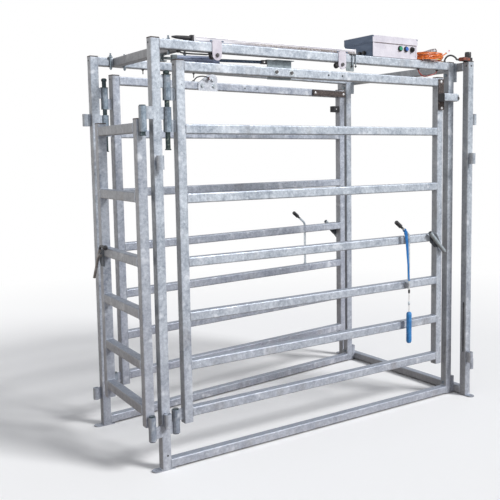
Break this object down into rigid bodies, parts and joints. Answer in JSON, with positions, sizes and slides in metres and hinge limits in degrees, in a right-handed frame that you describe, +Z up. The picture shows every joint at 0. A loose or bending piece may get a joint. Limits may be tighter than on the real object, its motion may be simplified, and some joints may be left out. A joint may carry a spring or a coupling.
{
  "type": "cattle_drafting_gate",
  "caption": "Three-gate cattle drafting unit: galvanised race frame, two long side gates, an end gate and an air cylinder",
  "frame": {"origin": "on the floor under the middle of the front exit post", "axes": "+X along the race from the exit end to the entry end, +Y from the front side to the back, +Z up"},
  "size_m": [2.3512, 1.4386, 2.3198],
  "materials": {
    "galvanised_frame": "hot-dip galvanised, spangled and weathered",
    "galvanised_gate": "hot-dip galvanised, spangled and weathered",
    "zinc_hardware": "zinc plated",
    "dark_plate": "satin",
    "aluminium_tube": "satin",
    "white_enamel": "satin",
    "black_rubber": "matte",
    "black_plastic": "matte",
    "green_plastic": "gloss",
    "blue_plastic": "satin",
    "orange_hose": "satin",
    "red_hose": "satin"
  },
  "bodies": {
    "race_frame": {"front_side_frame": "galvanised_frame", "rear_side_frame": "galvanised_frame", "end_frame": "galvanised_frame", "exit_top_rail": "galvanised_frame", "frame_bolt_front_top": "zinc_hardware", "frame_bolt_front_base": "zinc_hardware", "frame_bolt_rear_top": "zinc_hardware", "frame_bolt_rear_base": "zinc_hardware", "rail_clamp_front_left": "zinc_hardware", "rail_clamp_front_right": "zinc_hardware", "rail_clamp_rear_left": "zinc_hardware", "rail_clamp_rear_right": "zinc_hardware", "gate1_upper_pin": "zinc_hardware", "gate1_lower_pin": "zinc_hardware", "gate2_upper_pin": "zinc_hardware", "gate2_lower_pin": "zinc_hardware", "gate3_upper_pin": "zinc_hardware", "gate3_lower_pin": "zinc_hardware", "saddle_plate_left": "white_enamel", "saddle_plate_right": "white_enamel", "saddle_bolt_left": "zinc_hardware", "saddle_bolt_right": "zinc_hardware", "rail_tube": "aluminium_tube", "rail_tube_boot": "black_rubber", "control_box": "white_enamel", "hose_valve": "black_plastic", "cylinder_hanger": "galvanised_frame", "orange_hose_hank": "orange_hose", "black_hose": "black_rubber", "exit_hose": "black_rubber", "entry_hose": "red_hose", "hanging_strap": "black_rubber", "post_sensor": "black_plastic"},
    "gate1": {"gate1_frame": "galvanised_gate", "gate1_buffer": "black_rubber", "gate1_latch_plate": "dark_plate", "gate1_cylinder_bracket": "galvanised_gate", "gate1_bracket_bolt_left": "zinc_hardware", "gate1_bracket_bolt_right": "zinc_hardware", "clevis_pin": "zinc_hardware"},
    "gate1_latch": {"gate1_latch_handle": "galvanised_gate"},
    "gate1_hand_lever": {"gate1_lever": "zinc_hardware", "pull_cord": "blue_plastic", "pull_handle": "blue_plastic"},
    "gate2": {"gate2_frame": "galvanised_gate", "gate2_buffer_strip": "black_rubber", "gate2_bumper": "black_rubber", "gate2_latch_plate": "dark_plate", "gate2_bracket": "galvanised_gate"},
    "gate2_latch": {"gate2_latch_handle": "galvanised_gate"},
    "gate2_hand_lever": {"gate2_lever": "zinc_hardware"},
    "gate3": {"gate3_frame": "galvanised_gate", "gate3_latch_plate": "dark_plate"},
    "gate3_latch": {"gate3_latch_handle": "zinc_hardware"},
    "cylinder": {"cylinder_barrel": "aluminium_tube"},
    "rod": {"cylinder_rod": "zinc_hardware"},
    "lid": {"control_box_lid": "white_enamel"},
    "selector": {"selector_knob": "black_plastic"},
    "blue_push": {"blue_button": "blue_plastic"},
    "green_push": {"green_button": "green_plastic"}
  },
  "joints": [
    {"name": "gate1_swing", "type": "hinge", "parent": "race_frame", "child": "gate1", "pos_m": [0.0665, 0, 1], "axis": [0, 0, 1], "range_deg": [0, 28.5]},
    {"name": "gate2_swing", "type": "hinge", "parent": "race_frame", "child": "gate2", "pos_m": [0.06613, 0.82699, 1], "axis": [0, 0, 1], "range_deg": [0, 70]},
    {"name": "gate3_swing", "type": "hinge", "parent": "race_frame", "child": "gate3", "pos_m": [-0.0875, -0.046, 1], "axis": [0, 0, 1], "range_deg": [0, 100]},
    {"name": "cylinder_pivot", "type": "hinge", "parent": "race_frame", "child": "cylinder", "pos_m": [0.13, 0.165, 2.125], "axis": [0, 0, 1], "range_deg": [0, 32]},
    {"name": "rod_slide", "type": "slide", "parent": "cylinder", "child": "rod", "axis": [0.9808, -0.1948, 0], "range_m": [-0.0795, 0]},
    {"name": "gate1_latch_turn", "type": "hinge", "parent": "gate1", "child": "gate1_latch", "pos_m": [1.9265, -0.045, 1.053], "axis": [0, -1, 0], "range_deg": [0, 45]},
    {"name": "gate2_latch_turn", "type": "hinge", "parent": "gate2", "child": "gate2_latch", "pos_m": [1.94589, 1.07107, 1.053], "axis": [0.1052, -0.9945, 0], "range_deg": [0, 45]},
    {"name": "gate3_latch_turn", "type": "hinge", "parent": "gate3", "child": "gate3_latch", "pos_m": [-0.10297, 0.56133, 1.073], "axis": [0.999, -0.0454, 0], "range_deg": [0, 40]},
    {"name": "gate1_lever_turn", "type": "hinge", "parent": "gate1", "child": "gate1_hand_lever", "pos_m": [1.687, -0.045, 0.95], "axis": [0, 0, 1], "range_deg": [0, 90]},
    {"name": "gate2_lever_turn", "type": "hinge", "parent": "gate2", "child": "gate2_hand_lever", "pos_m": [1.67241, 1.04214, 0.95], "axis": [0, 0, -1], "range_deg": [0, 90]},
    {"name": "lid_hinge", "type": "hinge", "parent": "race_frame", "child": "lid", "pos_m": [1.589, 0.2455, 2.2798], "axis": [-1, 0, 0], "range_deg": [0, 100]},
    {"name": "selector_turn", "type": "hinge", "parent": "race_frame", "child": "selector", "pos_m": [1.728, -0.024, 2.2538], "axis": [0, 1, 0], "range_deg": [-45, 45]},
    {"name": "blue_press", "type": "slide", "parent": "race_frame", "child": "blue_push", "axis": [0, 1, 0], "range_m": [0, 0.004], "stiffness_N_per_m": 400},
    {"name": "green_press", "type": "slide", "parent": "race_frame", "child": "green_push", "axis": [0, 1, 0], "range_m": [0, 0.004], "stiffness_N_per_m": 400}
  ],
  "couplings": [
    {"joint": "cylinder_pivot", "follows": "gate1_swing", "ratio": 1.122},
    {"joint": "rod_slide", "follows": "gate1_swing", "m_per_rad": -0.1595}
  ]
}
